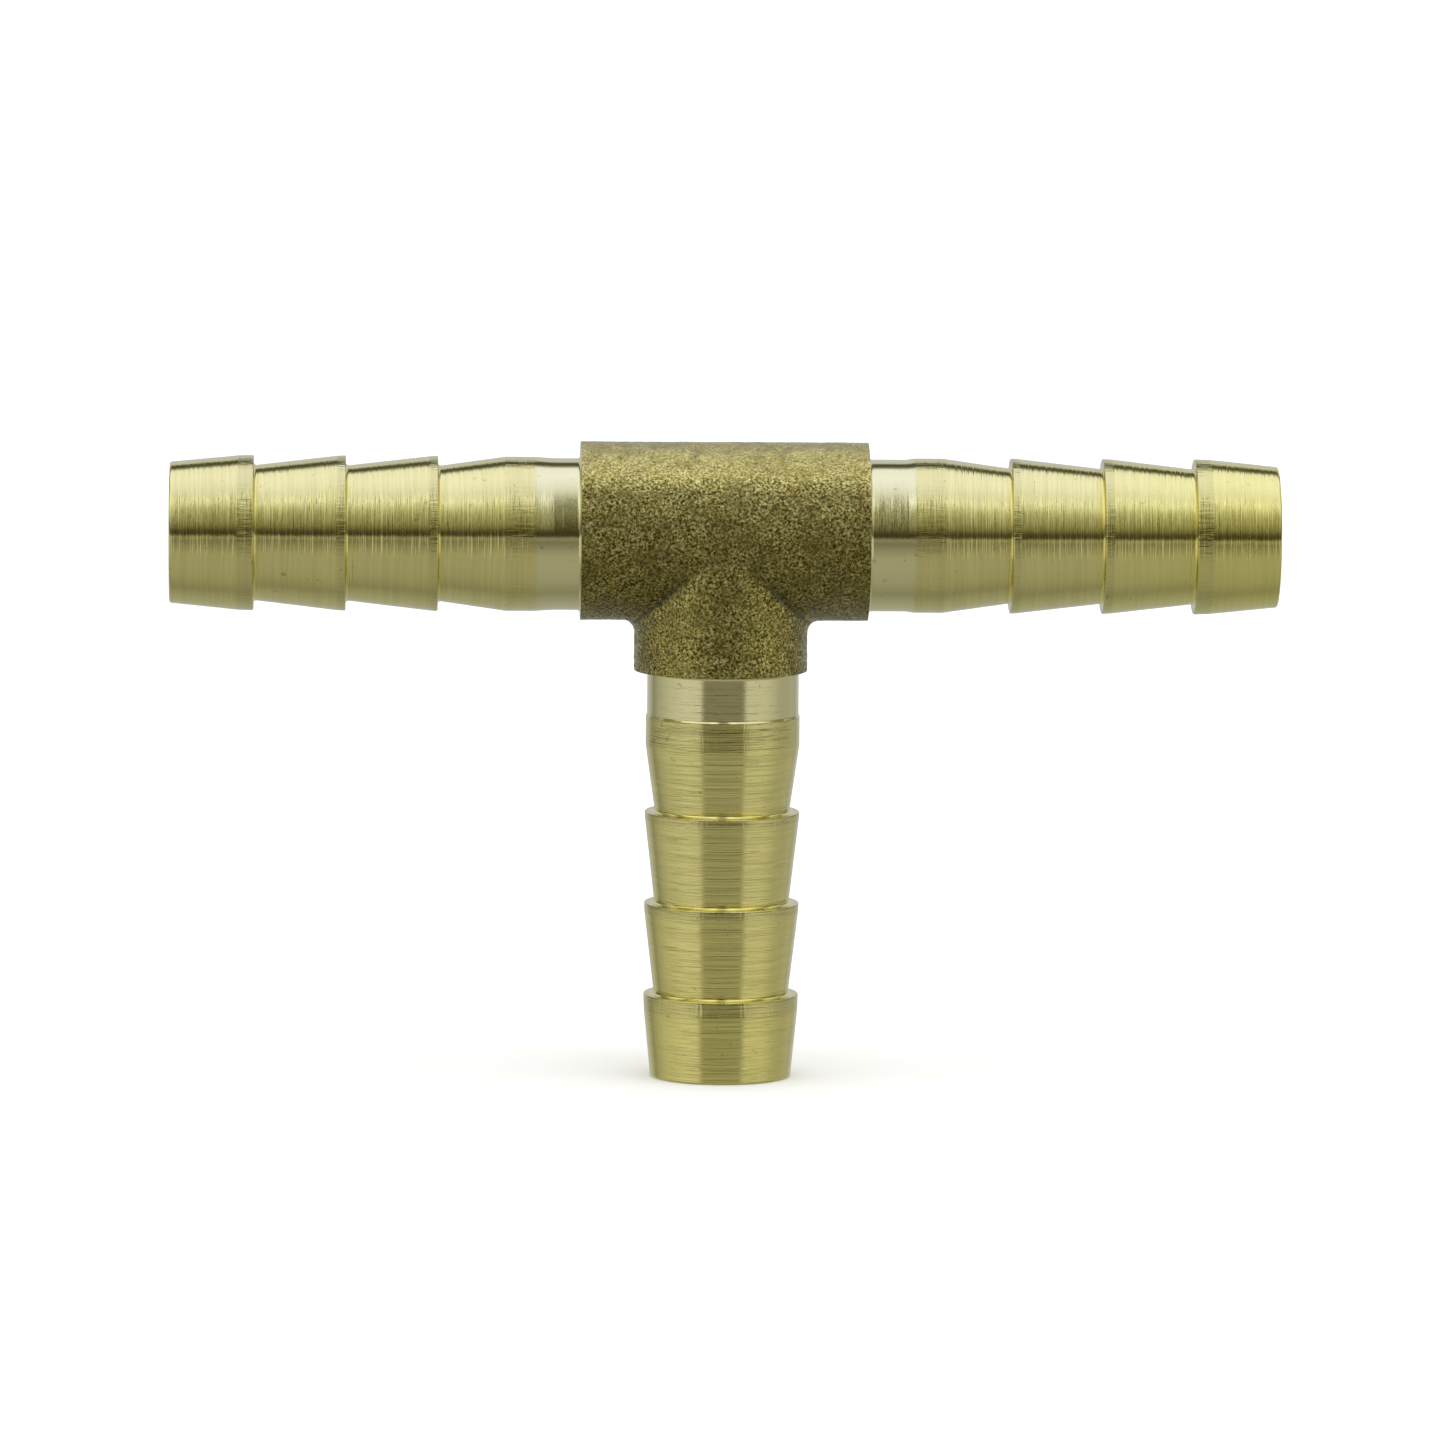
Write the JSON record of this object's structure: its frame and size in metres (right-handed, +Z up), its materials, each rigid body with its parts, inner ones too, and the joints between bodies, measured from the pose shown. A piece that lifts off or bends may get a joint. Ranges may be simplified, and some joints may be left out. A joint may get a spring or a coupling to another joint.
{
  "type": "barbed tee connector",
  "caption": "Brass tee for joining hoses: a short forged tee body with a barbed, bored hose tail on each arm, square to one another.",
  "frame": {"origin": "centre of the branch tail's open end, on which the tee stands", "axes": "+Z up the branch tail to the run, +X along the run, +Y across the run"},
  "size_m": [0.076, 0.0122, 0.0438],
  "materials": {
    "forged_brass": "forged and shot-blasted, fine-grained, dull",
    "turned_brass": "turned, bright, with fine tool marks round it"
  },
  "bodies": {
    "root": {"tee_body": "forged_brass", "left_hose_tail": "turned_brass", "right_hose_tail": "turned_brass", "branch_hose_tail": "turned_brass"}
  },
  "joints": []
}
